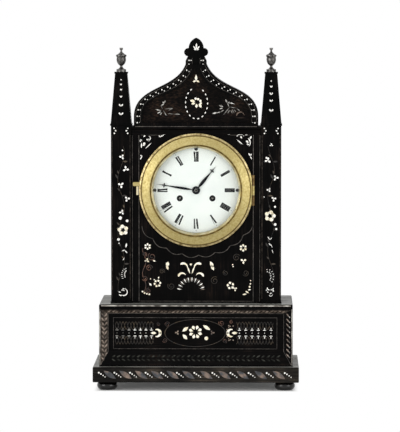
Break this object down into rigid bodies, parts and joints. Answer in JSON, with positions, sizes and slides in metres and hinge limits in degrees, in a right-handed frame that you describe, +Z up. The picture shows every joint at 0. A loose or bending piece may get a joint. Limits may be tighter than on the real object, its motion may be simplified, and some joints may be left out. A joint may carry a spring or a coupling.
{
  "type": "mantel clock",
  "caption": "Gothic mantel clock: ogee pediment between spired towers on a framed plinth, hinged bezel over the dial, striking pendulum movement with moving hands, trains and rear door.",
  "frame": {"origin": "on the floor, under the middle of the base slab", "axes": "+X to the viewer's right, +Y to the back, +Z up"},
  "size_m": [0.265, 0.14, 0.453],
  "materials": {
    "ebonised_wood": "satin French polish",
    "dark_bronze": "dark patina",
    "gilt_brass": "worn gilding",
    "movement_brass": "lacquered",
    "steel": "polished",
    "blued_steel": "blued",
    "bell_bronze": "turned",
    "white_enamel": "glossy enamel",
    "clear_glass": "clear"
  },
  "bodies": {
    "case": {"bun_feet": "ebonised_wood", "base_slab": "ebonised_wood", "plinth_front_frame": "ebonised_wood", "plinth_front_panel": "ebonised_wood", "plinth_boards": "ebonised_wood", "plinth_top": "ebonised_wood", "tower_left": "ebonised_wood", "tower_right": "ebonised_wood", "spire_left": "ebonised_wood", "spire_right": "ebonised_wood", "urn_left": "dark_bronze", "urn_right": "dark_bronze", "case_sides": "ebonised_wood", "dial_panel": "ebonised_wood", "dial_stiles": "ebonised_wood", "cornice_rail": "ebonised_wood", "case_top": "ebonised_wood", "pediment_board": "ebonised_wood", "pediment_moulding": "ebonised_wood", "palmette_finial": "ebonised_wood", "back_board": "ebonised_wood", "back_ring": "gilt_brass", "dial_ring": "gilt_brass", "bezel_catch": "steel", "hinge_pins": "steel", "dial_plate": "white_enamel", "front_plate": "movement_brass", "back_plate": "movement_brass", "pillars": "movement_brass", "case_straps": "movement_brass", "suspension_cock": "movement_brass", "bell": "bell_bronze", "bell_stand": "steel"},
    "bezel": {"bezel_ring": "gilt_brass", "bezel_glass": "clear_glass", "sight_ring": "gilt_brass", "bezel_tab": "gilt_brass"},
    "rear_door": {"back_door": "gilt_brass", "back_door_knob": "gilt_brass"},
    "minute_group": {"minute_hand": "blued_steel", "cannon_pinion": "movement_brass"},
    "hour_group": {"hour_hand": "blued_steel", "hour_wheel": "movement_brass"},
    "minute_wheel_group": {"minute_wheel": "movement_brass"},
    "going_barrel_group": {"going_barrel": "movement_brass"},
    "going_arbor_group": {"going_winding_arbor": "steel"},
    "strike_barrel_group": {"strike_barrel": "movement_brass"},
    "strike_arbor_group": {"strike_winding_arbor": "steel"},
    "centre_group": {"centre_wheel": "movement_brass"},
    "third_group": {"third_wheel": "movement_brass"},
    "escape_group": {"escape_wheel": "movement_brass"},
    "anchor_group": {"pallet_anchor": "steel"},
    "pendulum_group": {"pendulum_rod": "steel", "pendulum_bob": "movement_brass"},
    "strike_group": {"strike_wheel": "movement_brass", "count_wheel": "movement_brass"},
    "pin_group": {"pin_wheel": "movement_brass"},
    "fly_group": {"fly": "movement_brass"},
    "hammer_group": {"hammer": "steel"},
    "regulator_group": {"regulator_arbor": "steel"}
  },
  "joints": [
    {"name": "bezel_swing", "type": "hinge", "parent": "case", "child": "bezel", "pos_m": [0.0736, -0.0454, 0.257], "axis": [0, 0, 1], "range_deg": [0, 110]},
    {"name": "rear_door_swing", "type": "hinge", "parent": "case", "child": "rear_door", "pos_m": [0.0562, 0.0582, 0.257], "axis": [0, 0, -1], "range_deg": [0, 120]},
    {"name": "minute_turn", "type": "hinge", "parent": "case", "child": "minute_group", "pos_m": [0, -0.04, 0.257], "axis": [0, 1, 0], "continuous": true},
    {"name": "hour_turn", "type": "hinge", "parent": "case", "child": "hour_group", "pos_m": [0, -0.04, 0.257], "axis": [0, 1, 0], "continuous": true},
    {"name": "minute_wheel_turn", "type": "hinge", "parent": "case", "child": "minute_wheel_group", "pos_m": [0, -0.035, 0.269], "axis": [0, 1, 0], "continuous": true},
    {"name": "going_barrel_turn", "type": "hinge", "parent": "case", "child": "going_barrel_group", "pos_m": [0.021, 0, 0.2465], "axis": [0, 1, 0], "continuous": true},
    {"name": "centre_turn", "type": "hinge", "parent": "case", "child": "centre_group", "pos_m": [0, 0, 0.257], "axis": [0, 1, 0], "continuous": true},
    {"name": "third_turn", "type": "hinge", "parent": "case", "child": "third_group", "pos_m": [0.008, 0, 0.27086], "axis": [0, 1, 0], "continuous": true},
    {"name": "escape_turn", "type": "hinge", "parent": "case", "child": "escape_group", "pos_m": [0, 0, 0.28113], "axis": [0, 1, 0], "continuous": true},
    {"name": "strike_barrel_turn", "type": "hinge", "parent": "case", "child": "strike_barrel_group", "pos_m": [-0.021, 0, 0.2465], "axis": [0, 1, 0], "continuous": true},
    {"name": "strike_turn", "type": "hinge", "parent": "case", "child": "strike_group", "pos_m": [-0.02508, 0, 0.26962], "axis": [0, 1, 0], "continuous": true},
    {"name": "pin_turn", "type": "hinge", "parent": "case", "child": "pin_group", "pos_m": [-0.01836, 0, 0.28126], "axis": [0, 1, 0], "continuous": true},
    {"name": "fly_turn", "type": "hinge", "parent": "case", "child": "fly_group", "pos_m": [-0.01556, 0, 0.29169], "axis": [0, 1, 0], "continuous": true},
    {"name": "going_wind", "type": "hinge", "parent": "case", "child": "going_arbor_group", "pos_m": [0.021, 0, 0.2465], "axis": [0, 1, 0], "continuous": true},
    {"name": "strike_wind", "type": "hinge", "parent": "case", "child": "strike_arbor_group", "pos_m": [-0.021, 0, 0.2465], "axis": [0, 1, 0], "continuous": true},
    {"name": "pendulum_swing", "type": "hinge", "parent": "case", "child": "pendulum_group", "pos_m": [0, 0.0158, 0.29303], "axis": [0, 1, 0], "range_deg": [-4, 4]},
    {"name": "anchor_rock", "type": "hinge", "parent": "case", "child": "anchor_group", "pos_m": [0, -0.017, 0.29303], "axis": [0, 1, 0], "range_deg": [-4, 4]},
    {"name": "hammer_lift", "type": "hinge", "parent": "case", "child": "hammer_group", "pos_m": [0.03309, 0.02, 0.22505], "axis": [0, 1, 0], "range_deg": [0, 20]},
    {"name": "regulator_turn", "type": "hinge", "parent": "case", "child": "regulator_group", "pos_m": [0, -0.01, 0.3102], "axis": [0, 1, 0], "continuous": true}
  ],
  "couplings": [
    {"joint": "hour_turn", "follows": "minute_turn", "ratio": 0.083333},
    {"joint": "minute_wheel_turn", "follows": "minute_turn", "ratio": -0.33333},
    {"joint": "centre_turn", "follows": "going_barrel_turn", "ratio": -5},
    {"joint": "third_turn", "follows": "going_barrel_turn", "ratio": 35},
    {"joint": "escape_turn", "follows": "going_barrel_turn", "ratio": -236.25},
    {"joint": "strike_turn", "follows": "strike_barrel_turn", "ratio": -5},
    {"joint": "pin_turn", "follows": "strike_barrel_turn", "ratio": 35},
    {"joint": "fly_turn", "follows": "strike_barrel_turn", "ratio": -280},
    {"joint": "anchor_rock", "follows": "pendulum_swing", "ratio": 1}
  ]
}
